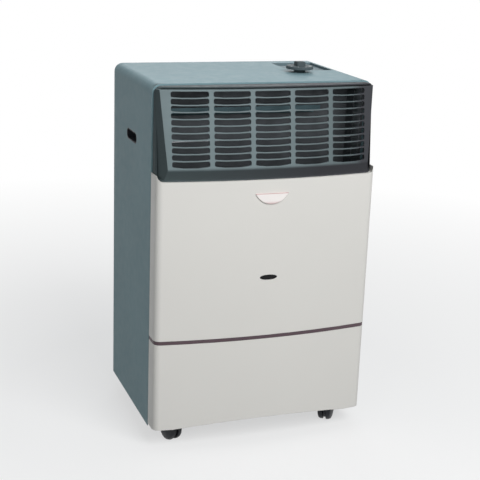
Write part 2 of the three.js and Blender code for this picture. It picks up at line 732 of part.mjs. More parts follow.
function valveSpindle() {
  const low = sheetTop - sheet - 10 - valveDrop - camThick - 4;
  const top = sheetTop + knobHeight - 4 - seat;
  const shaft = turned(ringProfile(0, spindleRadius, low, top), knobX, knobDepth, 16);
  const flat = block(knobX - 10, knobX + 10, knobDepth + spindleRadius - 1, knobDepth + 10,
    low - 1, low + camThick + pushTravel + 8);
  return cut(shaft, flat);
}

function gasValveBody() {
  const top = valveTop;
  const low = valveLow;
  const a = valveWidth / 2;
  const body = planPrism(roundedRectangle(knobX - a, knobX + a, knobDepth - 20, knobDepth + 20, 5), low, top - 8);
  const dome = turned([[0, top - 9], [18, top - 9], [18, top - 3], [15, top], [0, top]], knobX, knobDepth);
  const outlet = rod(8, 10, place(knobX + a + 4, knobDepth, outletZ), new THREE.Vector3(1, 0, 0));
  const inlet = rod(9, 10, place(knobX - 8, knobDepth - 24, inletZ), new THREE.Vector3(0, 1, 0));
  const bore = turned(ringProfile(0, spindleRadius + spindleFit, low - 1, top + 1), knobX, knobDepth, 16);
  return cut(fuse(body, dome, outlet, inlet), bore);
}

function valveCam() {
  const high = valveLow - seat;
  const disc = turned(ringProfile(0, camRadius, high - camThick, high), knobX, knobDepth);
  const nose = block(knobX - camRadius - 4, knobX, knobDepth - 4, knobDepth + 4, high - camThick, high);
  const round = turned(ringProfile(0, spindleRadius + seat, high - camThick - 1, high + 1), knobX, knobDepth, 16);
  const bore = cut(round, block(knobX - 10, knobX + 10, knobDepth + spindleRadius - 1 + seat, knobDepth + 10,
    high - camThick - 2, high + 2));
  return cut(fuse(disc, nose), bore);
}

function piezoIgniter() {
  const face = knobX - valveWidth / 2 - seat;
  const along = new THREE.Vector3(-1, 0, 0);
  return turnedAlong([[0, 0], [9, 0], [9, 30], [7, 32], [7, 46], [3, 48], [3, 54], [0, 54]],
    place(face, knobDepth, inletZ), along, 20);
}

function inletNozzle() {
  const from = knobDepth - 29 - seat;
  const along = new THREE.Vector3(0, 1, 0);
  const profile = [[2.5, 0], [8, 0], [8, 8], [5, 8]];
  for (let barb = 0; barb < 3; barb += 1) {
    profile.push([5.6, 9 + barb * 7], [4.2, 15 + barb * 7]);
  }
  profile.push([2.5, 30], [2.5, 0]);
  return turnedAlong(profile, place(knobX - 8, from, inletZ), along, 14);
}

// ---------------------------------------------------------------- burner and duct

function heatShield() {
  const x = half - sheet - seat;
  const low = trayZ + sheet + seat;
  const high = sheetTop - sheet - seat;
  const outline = archShape(sheet + seat, low);
  const plate = frontPrism(outline, shieldDepth, shieldDepth + sheet);
  const flanges = [-1, 1].map((side) => {
    const a = side * x;
    const b = side * (x - sheet);
    return block(Math.min(a, b), Math.max(a, b), shieldDepth, shieldDepth + 15,
      trayZ + trayFlange + 2, high - edgeRadius);
  });
  const sideNotch = [-1, 1].map((side) => {
    const a = side * half;
    const b = side * (half - 2 * sheet - 2 * seat);
    return block(Math.min(a, b), Math.max(a, b), shieldDepth - 1, shieldDepth + sheet + 1, low - 1,
      trayZ + trayFlange + 2);
  });
  const gas = rod(pipeRadius + seat, 10, place(gasX, shieldDepth, burnerZ), new THREE.Vector3(0, 1, 0));
  const pilot = rod(pilotPipeRadius + seat, 10, place(pilotX, shieldDepth, pilotZ), new THREE.Vector3(0, 1, 0));
  return cut(fuse(plate, ...flanges), gas, pilot, ...sideNotch);
}

function combustionChamber() {
  const back = shieldDepth + sheet + seat;
  const a = chamberWidth / 2;
  const outer = block(-a, a, back, chamberFront, chamberLow, chamberHigh);
  const inner = block(-a + sheet, a - sheet, back + sheet, chamberFront - sheet, chamberLow - 1, chamberHigh + 1);
  const flame = frontPrism(roundedRectangle(-35, 35, windowZ - 14, windowZ + 14, 8), chamberFront - 5,
    chamberFront + 5);
  const burnerHole = rod(burnerRadius + seat, 10, place(a, burnerDepth, burnerZ), new THREE.Vector3(1, 0, 0), 24);
  return cut(outer, inner, flame, burnerHole);
}

function outletDuct() {
  const back = shieldDepth + sheet + seat;
  const front = sideDepth + bezelGap - grooveDepth;
  const a = ductWidth / 2;
  const low = chamberHigh + seat;
  const outer = block(-a, a, back, front, low, ductTop);
  const inner = block(-a + sheet, a - sheet, back + sheet, front + 1, low + sheet, ductTop - sheet);
  const throat = block(-chamberWidth / 2 + sheet, chamberWidth / 2 - sheet, back + sheet, front + 1, low - 1,
    low + 2 * sheet);
  const lip = block(ductLipLeft, ductLipRight, front - sheet, front, ductTop - ductLipDrop, ductTop);
  return fuse(cut(outer, inner, throat), lip);
}

function outletBaffle() {
  const left = -ductWidth / 2 + sheet + seat;
  const back = shieldDepth + 2 * sheet + 2 * seat;
  const front = sideDepth - 2;
  const shape = new THREE.Shape();
  shape.moveTo(back, baffleZ - baffleHeight);
  shape.lineTo(back + sheet, baffleZ - baffleHeight);
  shape.lineTo(back + sheet, baffleZ);
  shape.lineTo(front, baffleZ);
  shape.lineTo(front, baffleZ + baffleHeight);
  shape.lineTo(front - sheet, baffleZ + baffleHeight);
  shape.lineTo(front - sheet, baffleZ + sheet);
  shape.lineTo(back, baffleZ + sheet);
  shape.closePath();
  return sidePrism(shape, left, baffleRight);
}

function guardRod() {
  const length = ductWidth - 2 * sheet - 2 * seat;
  return rod(guardRadius, length, place(0, sideDepth - 9, guardZ), new THREE.Vector3(1, 0, 0), 10);
}

function burnerTube() {
  const inner = burnerRadius - 1.4;
  const length = burnerRight - burnerLeft;
  const profile = [
    [0, 0], [burnerRadius, 0], [burnerRadius, length - 14], [burnerRadius - 3, length - 10],
    [burnerRadius - 3, length - 6], [burnerRadius, length], [inner, length], [inner - 3, length - 6],
    [inner - 3, length - 10], [inner, length - 15], [inner, 1.6], [0, 1.6],
  ];
  const tube = turnedAlong(profile, place(burnerLeft, burnerDepth, burnerZ), new THREE.Vector3(1, 0, 0), 16);
  const ports = [];
  for (let i = 0; i < portCount; i += 1) {
    const x = burnerLeft + 15 + i * (length - portMargin) / portCount;
    ports.push(block(x, x + 3, burnerDepth - 8, burnerDepth + 8, burnerZ + 8, burnerZ + burnerRadius + 2));
  }
  return cut(tube, ...ports);
}

function burnerBracket() {
  const a = chamberWidth / 2 - sheet - seat;
  const low = burnerZ - burnerRadius - 16;
  const back = shieldDepth + 2 * sheet + 2 * seat;
  const front = chamberFront - sheet - seat;
  const base = block(-a, a, back, front, low, low + sheet);
  const cheeks = [-0.35, 0.35].map((share) => share * chamberWidth).map((x) => cut(
    block(x, x + sheet, burnerDepth - 20, burnerDepth + 20, low, burnerZ + 6),
    rod(burnerRadius + seat, 10, place(x, burnerDepth, burnerZ), new THREE.Vector3(1, 0, 0), 24)));
  const slots = [-70, -25, 20, 65].map((x) => block(x, x + 30, burnerDepth - 10, burnerDepth + 8, low - 1, low + 3));
  const posts = pilotPosts.map(([x, radius]) => turned(
    ringProfile(0, radius + seat, low - 1, low + 3), x, pilotDepth, 16));
  return cut(fuse(base, ...cheeks), ...slots, ...posts);
}

function pilotBurner() {
  const [x, r] = pilotPosts[0];
  const low = pilotFoot;
  return fuse(
    turned([[0, low], [r, low], [r, windowZ - 8], [r + 2, windowZ - 6], [r + 2, windowZ + 2], [0, windowZ + 2]],
      x, pilotDepth, 16),
    turned(ringProfile(0, r + 2.5, low + 9, low + 15), x, pilotDepth, 6));
}

function sparkElectrode() {
  const [x, r] = pilotPosts[1];
  const low = pilotFoot - 2;
  return turned([[0, low], [r, low], [r, windowZ - 8], [1, windowZ - 7], [1, windowZ + 6], [0, windowZ + 6]],
    x, pilotDepth, 12);
}

function thermocouple() {
  const [x, r] = pilotPosts[2];
  const low = pilotFoot - 2;
  return turned([[0, low], [r, low], [r, windowZ - 2], [r - 1, windowZ + 4], [0, windowZ + 5]], x, pilotDepth, 12);
}

function mainGasPipe() {
  const start = knobX + valveWidth / 2 + 9 + seat;
  return pipe([
    place(start, knobDepth, outletZ),
    place(gasX, knobDepth, outletZ),
    place(gasX, gasRunDepth, outletZ - 40),
    place(gasX, gasRunDepth, burnerZ),
    place(gasX, burnerDepth, burnerZ),
    place(burnerRight - 3, burnerDepth, burnerZ),
  ], pipeRadius, 12, 30);
}

function pilotGasPipe() {
  const low = valveLow - pipeRadius - 2;
  return pipe([
    place(knobX + 20, knobDepth + 14, valveLow - seat),
    place(knobX + 20, knobDepth + 14, low - 12),
    place(pilotX, knobDepth + 14, low - 12),
    place(pilotX, gasRunDepth, low - 60),
    place(pilotX, gasRunDepth, pilotZ),
    place(pilotX, pilotDepth, pilotZ),
    place(pilotPosts[0][0], pilotDepth, pilotZ),
    place(pilotPosts[0][0], pilotDepth, pilotFoot - seat),
  ], pilotPipeRadius, 8, 34);
}

// ---------------------------------------------------------------- rear hood

function hoodPan(inset) {
  const a = hoodWidth / 2 - inset;
  const r = hoodRound + 6 - inset;
  const shape = roundedRectangle(-a + hoodRound, a - hoodRound, hoodLow + inset + hoodRound,
    hoodHigh - inset - hoodRound, r - 4);
  const settings = {
    depth: 2 * hoodDepth, bevelEnabled: true, bevelThickness: hoodRound, bevelSize: hoodRound,
    bevelSegments: 3, curveSegments: 2,
  };
  const geometry = new THREE.ExtrudeGeometry(shape, settings);
  geometry.rotateX(Math.PI / 2);
  geometry.translate(0, rearY + hoodDepth - inset - hoodRound, 0);
  return solid(geometry);
}

function rearHood() {
  const lipBack = -seat - sheet;
  const x = half - 6;
  const rim = frontPrism(roundedRectangle(-x, x, hoodLow - hoodRim, sheetTop - 8, 10), lipBack, -seat);
  const behind = block(-half, half, -hoodDepth - 5, -seat, 0, sheetTop + 50);
  const bulge = hoodPan(0).intersect(behind);
  const core = hoodPan(sheet);
  const vents = [];
  for (const base of [hoodLow + ventLow, hoodHigh - ventHigh]) {
    for (let row = 0; row < 3; row += 1) {
      for (const column of [-0.5, 0.5]) {
        const cx = column * (ventWidth + ventGap);
        const z = base + row * ventPitch;
        vents.push(frontPrism(roundedRectangle(cx - ventWidth / 2, cx + ventWidth / 2, z, z + ventHeight,
          ventHeight / 2 - 0.01), -hoodDepth - 3, -hoodDepth + 6, 1));
      }
    }
  }
  const hooks = [-1, 1].flatMap((side) => hookHeights.map((z) => {
    const cx = side * (half - flangeWidth / 2 - sheet);
    const stem = block(cx - hookWidth / 2, cx + hookWidth / 2, -seat - 0.5, 2 * sheet + seat, z, z + hookStem);
    const tongue = block(cx - hookWidth / 2, cx + hookWidth / 2, sheet + seat, 2 * sheet + seat, z - 11, z + hookStem);
    return fuse(stem, tongue);
  }));
  return fuse(cut(fuse(rim, bulge), core, ...vents), ...hooks);
}

// ---------------------------------------------------------------- casters

function casterPlate(caster) {
  const s = plateWidth / 2;
  const plate = planPrism(roundedRectangle(caster.x - s, caster.x + s, caster.depth - s, caster.depth + s, 5),
    plateHigh - plateThick, plateHigh, 2);
  const pin = turned(ringProfile(0, pinRadius, hubLow + 6, plateHigh), caster.x, caster.depth, 16);
  return fuse(plate, pin);
}

// Caster pieces below the plate are drawn heading to the front with the swivel axis at the origin.
function onCaster(caster, geometrySolid) {
  const turn = new THREE.Matrix4().makeRotationZ(THREE.MathUtils.degToRad(caster.heading));
  turn.setPosition(place(caster.x, caster.depth, 0));
  return geometrySolid.transform(turn.toArray());
}

function casterYoke(caster) {
  const reach = wheelRadius + 2.5;
  const boss = 8;
  const side = new THREE.Shape();
  side.absarc(trail, wheelRadius, reach, 0.15 * Math.PI, 0.86 * Math.PI, false);
  side.absarc(trail, wheelRadius, boss, 1.2 * Math.PI, 1.9 * Math.PI, false);
  const web = localSide(side, -webThick / 2, webThick / 2);
  const over = new THREE.Shape();
  over.absarc(trail, wheelRadius, reach, 0.17 * Math.PI, 0.8 * Math.PI, false);
  over.absarc(trail, wheelRadius, wheelRadius + 0.8, 0.8 * Math.PI, 0.17 * Math.PI, true);
  const span = wheelOffset + wheelWidth / 2;
  const hood = localSide(over, -span, span);
  const hub = localTurned(ringProfile(0, hubRadius, hubLow, plateHigh - plateThick - seat));
  const bore = localTurned(ringProfile(0, pinRadius + seat, hubLow + 5, plateHigh), 12);
  const axle = localRod(axleRadius + seat, 3 * span, 12);
  const room = cut(localRod(wheelRadius + 0.8, 2 * span), localRod(wheelRadius + 5, webThick));
  return onCaster(caster, cut(fuse(web, hood, cut(hub, room)), bore, axle));
}

function localSide(shape, x0, x1) {
  const geometry = new THREE.ExtrudeGeometry(shape, { depth: x1 - x0, bevelEnabled: false, curveSegments: 3 });
  geometry.applyMatrix4(new THREE.Matrix4().makeBasis(
    new THREE.Vector3(0, -1, 0), new THREE.Vector3(0, 0, 1), new THREE.Vector3(-1, 0, 0)));
  geometry.translate(x1, 0, 0);
  return solid(geometry);
}

function localTurned(profile, segments = 16) {
  const geometry = new THREE.LatheGeometry(profile.map(([r, z]) => new THREE.Vector2(r, z)), segments);
  geometry.rotateX(Math.PI / 2);
  return solid(geometry);
}

function localRod(radius, length, segments = 24) {
  const geometry = new THREE.CylinderGeometry(radius, radius, length, segments);
  geometry.rotateZ(Math.PI / 2);
  geometry.translate(0, -trail, wheelRadius);
  return solid(geometry);
}

function casterAxle(caster) {
  return onCaster(caster, localRod(axleRadius, 2 * wheelOffset + wheelWidth - 1, 12));
}

// Domed wheel: flat inner face, tread near it, outer face drawn in to the axle boss.
function casterWheel(caster, side) {
  const inner = webThick / 2 + 0.8;
  const outer = wheelOffset + wheelWidth / 2;
  const bore = axleRadius + seat;
  const tread = wheelRadius / Math.cos(Math.PI / wheelFaces);
  const profile = [
    [bore, inner], [tread, inner], [tread, inner + 5], [tread - 2, inner + 9],
    [tread - 7, outer - 1.5], [9, outer], [bore, outer - 1], [bore, inner],
  ];
  const geometry = new THREE.LatheGeometry(profile.map(([r, t]) => new THREE.Vector2(r, t)),
    wheelFaces, Math.PI / wheelFaces);
  geometry.rotateZ(-side * Math.PI / 2);
  geometry.translate(0, -trail, wheelRadius);
  return onCaster(caster, solid(geometry));
}

// ---------------------------------------------------------------- assembly

const heater = new THREE.Group();
heater.add(
  part('cabinet_wrap', cabinetWrap(), tealPaint),
  part('base_tray', baseTray(), tealPaint),
  part('lower_front_panel', lowerFrontPanel(), creamPaint),
  part('upper_front_panel', upperFrontPanel(), creamPaint),
  part('trim_strip', trimStrip(), trimPlastic),
  part('badge_plate', badgePlate(), silver),
  part('sight_window', sightWindow(), darkGlass),
  part('louvre_grille', louvreGrille(), darkPlastic),
  part('side_grip_left', sideGrip(-1), blackPlastic),
  part('side_grip_right', sideGrip(1), blackPlastic),
  part('control_recess', controlRecess(), darkPlastic),
  part('knob_collar', knobCollar(), blackPlastic),
  part('control_knob', controlKnob(), darkPlastic),
  part('valve_spindle', valveSpindle(), brass),
  part('gas_valve_body', gasValveBody(), aluminised),
  part('valve_cam', valveCam(), galvanised),
  part('piezo_igniter', piezoIgniter(), blackPlastic),
  part('inlet_nozzle', inletNozzle(), brass),
  part('heat_shield', heatShield(), galvanised),
  part('combustion_chamber', combustionChamber(), aluminised),
  part('outlet_duct', outletDuct(), aluminised),
  part('outlet_baffle', outletBaffle(), tealPaint),
  part('guard_rod', guardRod(), galvanised),
  part('burner_tube', burnerTube(), aluminised),
  part('burner_bracket', burnerBracket(), galvanised),
  part('pilot_burner', pilotBurner(), brass),
  part('spark_electrode', sparkElectrode(), ceramic),
  part('thermocouple', thermocouple(), copper),
  part('main_gas_pipe', mainGasPipe(), copper),
  part('pilot_gas_pipe', pilotGasPipe(), copper),
  part('rear_hood', rearHood(), tealPaint),
);
for (const caster of casters) {
  heater.add(
    part(`caster_plate_${caster.name}`, casterPlate(caster), galvanised),
    part(`caster_yoke_${caster.name}`, casterYoke(caster), blackPlastic),
    part(`caster_axle_${caster.name}`, casterAxle(caster), galvanised),
    part(`caster_wheel_a_${caster.name}`, casterWheel(caster, -1), blackPlastic),
    part(`caster_wheel_b_${caster.name}`, casterWheel(caster, 1), blackPlastic),
  );
}

export default heater;
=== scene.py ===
"""Portable gas cabinet heater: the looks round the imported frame, in metres, front facing -Y."""
import math

import bmesh
import bpy
from mathutils import Matrix, Vector


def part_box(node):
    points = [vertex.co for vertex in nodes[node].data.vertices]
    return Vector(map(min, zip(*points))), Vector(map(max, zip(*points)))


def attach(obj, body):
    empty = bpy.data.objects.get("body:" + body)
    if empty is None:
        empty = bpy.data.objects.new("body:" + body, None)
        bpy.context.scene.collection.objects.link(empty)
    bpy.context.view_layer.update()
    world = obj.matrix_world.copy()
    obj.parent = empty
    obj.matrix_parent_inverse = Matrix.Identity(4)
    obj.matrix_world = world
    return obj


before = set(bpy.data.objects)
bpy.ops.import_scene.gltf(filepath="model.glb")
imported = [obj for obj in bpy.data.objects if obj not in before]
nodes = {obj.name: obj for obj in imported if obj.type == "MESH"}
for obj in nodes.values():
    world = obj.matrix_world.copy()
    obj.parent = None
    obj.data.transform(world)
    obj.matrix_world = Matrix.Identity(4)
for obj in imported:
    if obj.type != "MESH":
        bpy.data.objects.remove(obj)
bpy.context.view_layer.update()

# ---------------------------------------------------------------- helpers


def srgb(r, g, b):
    """Linear colour of an sRGB one given from 0 to 255."""
    def channel(v):
        v /= 255
        return v / 12.92 if v <= 0.04045 else ((v + 0.055) / 1.055) ** 2.4
    return (channel(r), channel(g), channel(b), 1.0)


def scaled(color, factor):
    return tuple(min(1.0, c * factor) for c in color[:3]) + (1.0,)


def new_material(name):
    mat = bpy.data.materials.new(name)
    mat.use_nodes = True
    tree = mat.node_tree
    return mat, tree, tree.nodes["Principled BSDF"]


def add(tree, kind, **values):
    """A shader node, with its properties and the default values of its inputs set."""
    made = tree.nodes.new(kind)
    for key, value in values.items():
        if key in made.inputs:
            made.inputs[key].default_value = value
        else:
            setattr(made, key, value)
    return made


def noise(tree, coords, scale, detail, stretch=(1, 1, 1)):
    mapping = add(tree, "ShaderNodeMapping")
    mapping.inputs["Scale"].default_value = stretch
    tree.links.new(coords, mapping.inputs["Vector"])
    made = add(tree, "ShaderNodeTexNoise")
    made.inputs["Scale"].default_value = scale
    made.inputs["Detail"].default_value = detail
    tree.links.new(mapping.outputs["Vector"], made.inputs["Vector"])
    return made.outputs["Fac"]


def ranged(tree, value, low, high, from_low=0.3, from_high=0.7):
    """Runs from low to high while the value runs from from_low to from_high, and holds outside them."""
    made = add(tree, "ShaderNodeMapRange")
    made.inputs["From Min"].default_value = from_low
    made.inputs["From Max"].default_value = from_high
    made.inputs["To Min"].default_value = low
    made.inputs["To Max"].default_value = high
    tree.links.new(value, made.inputs["Value"])
    return made.outputs["Result"]


def mixed(tree, factor, first, second):
    """The first colour where the factor is 0 and the second where it is 1. Each is a colour or a socket."""
    made = add(tree, "ShaderNodeMix", data_type="RGBA")
    for socket, value in ((6, first), (7, second)):
        if isinstance(value, tuple):
            made.inputs[socket].default_value = value
        else:
            tree.links.new(value, made.inputs[socket])
    tree.links.new(factor, made.inputs[0])
    return made.outputs[2]


def combined(tree, operation, first, *others):
    """The values joined two by two by a math operation."""
    for other in others:
        made = add(tree, "ShaderNodeMath", operation=operation)
        tree.links.new(first, made.inputs[0])
        tree.links.new(other, made.inputs[1])
        first = made.outputs[0]
    return first


def edge_mask(tree, radius):
    """1 along sharp edges and 0 away from them, as wide as the radius."""
    bevel = add(tree, "ShaderNodeBevel", samples=4)
    bevel.inputs["Radius"].default_value = radius
    geometry = add(tree, "ShaderNodeNewGeometry")
    dot = add(tree, "ShaderNodeVectorMath", operation="DOT_PRODUCT")
    tree.links.new(bevel.outputs["Normal"], dot.inputs[0])
    tree.links.new(geometry.outputs["Normal"], dot.inputs[1])
    return ranged(tree, dot.outputs["Value"], 1.0, 0.0, 0.80, 0.99)


def surface(name, color, roughness, metallic=0.0, *, vary=0.06, vary_scale=9.0, grain=900.0, bump=0.1,
            bump_size=0.0002, edge_radius=0.0008, wear=None, wear_amount=0.4, coat=0.0, stretch=(1, 1, 1),
            rough_vary=0.08, dust=0.0, specular=0.5):
    """Painted, moulded or metal surface: colour variation, fine bump, uneven roughness and worn edges."""
    mat, tree, shader = new_material(name)
    coords = add(tree, "ShaderNodeTexCoord").outputs["Object"]
    broad = noise(tree, coords, vary_scale, 4.0, stretch)
    fine = noise(tree, coords, grain, 2.0, stretch)
    tint = mixed(tree, ranged(tree, broad, 0.0, 1.0), scaled(color, 1 - vary), scaled(color, 1 + vary))
    edges = edge_mask(tree, edge_radius)
    breakup = ranged(tree, noise(tree, coords, 130.0, 5.0), 0.0, 1.0, 0.42, 0.62)
    worn = combined(tree, "MULTIPLY", edges, breakup)
    eased = add(tree, "ShaderNodeMath", operation="MULTIPLY")
    tree.links.new(worn, eased.inputs[0])
    eased.inputs[1].default_value = wear_amount
    tint = mixed(tree, eased.outputs[0], tint, wear or scaled(color, 1.5))
    if dust:
        settled = ranged(tree, noise(tree, coords, 38.0, 6.0), 0.0, dust, 0.45, 0.75)
        tint = mixed(tree, settled, tint, scaled(color, 1.9))
    tree.links.new(tint, shader.inputs["Base Color"])
    patches = noise(tree, coords, 60.0, 4.0, stretch)
    rough = ranged(tree, patches, roughness - rough_vary, roughness + rough_vary)
    tree.links.new(rough, shader.inputs["Roughness"])
    shader.inputs["Metallic"].default_value = metallic
    shader.inputs["Specular IOR Level"].default_value = specular
    if coat:
        shader.inputs["Coat Weight"].default_value = coat
        shader.inputs["Coat Roughness"].default_value = 0.12
    rounded = add(tree, "ShaderNodeBevel", samples=4)
    rounded.inputs["Radius"].default_value = edge_radius
    relief = add(tree, "ShaderNodeBump")
    relief.inputs["Strength"].default_value = bump
    relief.inputs["Distance"].default_value = bump_size
    tree.links.new(fine, relief.inputs["Height"])
    tree.links.new(rounded.outputs["Normal"], relief.inputs["Normal"])
    tree.links.new(relief.outputs["Normal"], shader.inputs["Normal"])
    return mat


def object_axes(tree):
    """The X, Y and Z outputs of the place on the object and of the way its surface faces."""
    coords = add(tree, "ShaderNodeTexCoord")
    parts = []
    for output in ("Object", "Normal"):
        made = add(tree, "ShaderNodeSeparateXYZ")
        tree.links.new(coords.outputs[output], made.inputs[0])
        parts.append(made.outputs)
    return parts


def retint(tree, mask, color):
    """Lays a colour over the material's own as far as the mask says, from 0 to 1."""
    base = tree.nodes["Principled BSDF"].inputs["Base Color"]
    tree.links.new(mixed(tree, mask, base.links[0].from_socket, color), base)


def paint_grille_shade(mat):
    """Painted shade on the grille: dark grey on the rim, on the faces turned sideways and on the lower band
    round the paler louvre face, which darkens to its right end; the shaded parts also lose most of their
    gloss.
    """
    tree = mat.node_tree
    place, facing = object_axes(tree)
    turned = add(tree, "ShaderNodeMath", operation="ABSOLUTE")
    tree.links.new(facing["X"], turned.inputs[0])
    # Painted shade masks: faces turned sideways, the lower band, the top rim and the right end.
    shaded_sides = ranged(tree, turned.outputs[0], 0.0, 1.0, 0.4, 0.6)
    shaded_band = ranged(tree, place["Z"], 1.0, 0.0, *GRILLE_SHADED_BAND_Z)
    shaded_rim = ranged(tree, place["Z"], 0.0, 1.0, *GRILLE_SHADED_RIM_Z)
    right = ranged(tree, place["X"], 0.0, 0.55, *GRILLE_SHADE_FADE_X)
    shaded_corner = ranged(tree, place["X"], 0.0, 1.0, *GRILLE_SHADED_END_X)
    # Painted shade: the louvre face darkens towards its right end.
    retint(tree, right, scaled(GRILLE, 0.35))
    shade_across = ranged(tree, place["X"], 0.0, 1.0, *GRILLE_SHADE_GREY_X)
    shade_colour = mixed(tree, shade_across, scaled(GRILLE, 0.5), GRILLE_SHADE_GREY)
    shaded = combined(tree, "MAXIMUM", shaded_sides, shaded_band, shaded_rim, shaded_corner)
    retint(tree, shaded, shade_colour)
    gloss = tree.nodes["Principled BSDF"].inputs["Specular IOR Level"]
    # Painted shade also takes most of the gloss off the darkened parts.
    tree.links.new(ranged(tree, shaded, 0.25, 0.03, 0.0, 1.0), gloss)


def shade_badge(mat):
    """Rose tone along the lower arc and the upper edge of the half-moon plate."""
    low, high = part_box("badge_plate")
    tree = mat.node_tree
    place, _ = object_axes(tree)
    arc = ranged(tree, place["Z"], 0.7, 0.0, low.z, low.z + BADGE_ARC)
    edge = ranged(tree, place["Z"], 0.0, 0.8, high.z - BADGE_EDGE[0], high.z - BADGE_EDGE[1])
    retint(tree, combined(tree, "MAXIMUM", arc, edge), ROSE)


def paint_front_edge_shade(mat):
    """Painted shade: darker teal on the upward faces just behind the cabinet's bowed front edge."""
    tree = mat.node_tree
    place, facing = object_axes(tree)
    square = combined(tree, "MULTIPLY", place["X"], place["X"])
    unbowed = add(tree, "ShaderNodeMath", operation="MULTIPLY_ADD")
    tree.links.new(square, unbowed.inputs[0])
    unbowed.inputs[1].default_value = -FRONT_BOW
    tree.links.new(place["Y"], unbowed.inputs[2])
    edge_shade = ranged(tree, unbowed.outputs[0], 1.0, 0.0, *FRONT_EDGE_Y)
    upward = ranged(tree, facing["Z"], 0.0, 1.0, 0.5, 0.9)
    # Painted shade: darker teal on the top just behind the front edge.
    retint(tree, combined(tree, "MULTIPLY", edge_shade, upward), scaled(TEAL, 0.42))


def smoothing_group():
    """Welds a node's facets and shades its curved faces smooth, with edges over SHARP_DEGREES kept sharp."""
    group = bpy.data.node_groups.new("smooth_curves", "GeometryNodeTree")
    group.interface.new_socket("Geometry", in_out="INPUT", socket_type="NodeSocketGeometry")
    group.interface.new_socket("Geometry", in_out="OUTPUT", socket_type="NodeSocketGeometry")
    start = group.nodes.new("NodeGroupInput")
    end = group.nodes.new("NodeGroupOutput")
    bare = group.nodes.new("GeometryNodeRemoveAttribute")
    bare.inputs["Name"].default_value = "custom_normal"
    weld = group.nodes.new("GeometryNodeMergeByDistance")
    weld.inputs["Distance"].default_value = 1e-6
    faces = group.nodes.new("GeometryNodeSetShadeSmooth")
    faces.domain = "FACE"
    edges = group.nodes.new("GeometryNodeSetShadeSmooth")
    edges.domain = "EDGE"
    angle = group.nodes.new("GeometryNodeInputMeshEdgeAngle")
    compare = group.nodes.new("FunctionNodeCompare")
    compare.data_type = "FLOAT"
    compare.operation = "LESS_THAN"
    compare.inputs[1].default_value = math.radians(SHARP_DEGREES)
    link = group.links.new
    link(start.outputs[0], bare.inputs[0])
    link(bare.outputs[0], weld.inputs[0])
    link(weld.outputs[0], faces.inputs[0])
    link(faces.outputs[0], edges.inputs[0])
    link(angle.outputs[0], compare.inputs[0])
    link(compare.outputs[0], edges.inputs["Shade Smooth"])
    link(edges.outputs[0], end.inputs[0])
    return group


def even_normals(obj):
    normals = obj.modifiers.new("even_normals", "WEIGHTED_NORMAL")
    normals.keep_sharp = True


# ---------------------------------------------------------------- materials

TEAL = srgb(125, 153, 160)
CREAM = srgb(229, 227, 222)
GRILLE = srgb(112, 126, 129)
BLACK = srgb(40, 42, 47)
# The grey of the grille's painted shade.
GRILLE_SHADE_GREY = srgb(70, 71, 75)
ROSE = srgb(206, 164, 164)

# Where the grille's painted shade changes, in metres: each pair is the start and the end of a change.
GRILLE_SHADED_BAND_Z = (0.579, 0.585)
GRILLE_SHADED_RIM_Z = (0.7325, 0.7335)
GRILLE_SHADE_FADE_X = (-0.02, 0.19)
GRILLE_SHADED_END_X = (0.172, 0.195)
GRILLE_SHADE_GREY_X = (-0.2, 0.1)

# Height of the rose tone over the badge's lowest point, and its start and full strength below the top.
BADGE_ARC = 0.006
BADGE_EDGE = (0.0016, 0.0010)

# The front edge of the cabinet's top, in metres: Y falls back by FRONT_BOW times X squared. With that
# taken out, the painted shade behind the edge fades between these two values of Y.
FRONT_BOW = 0.756
FRONT_EDGE_Y = (-0.186, -0.174)

SHARP_DEGREES = 32

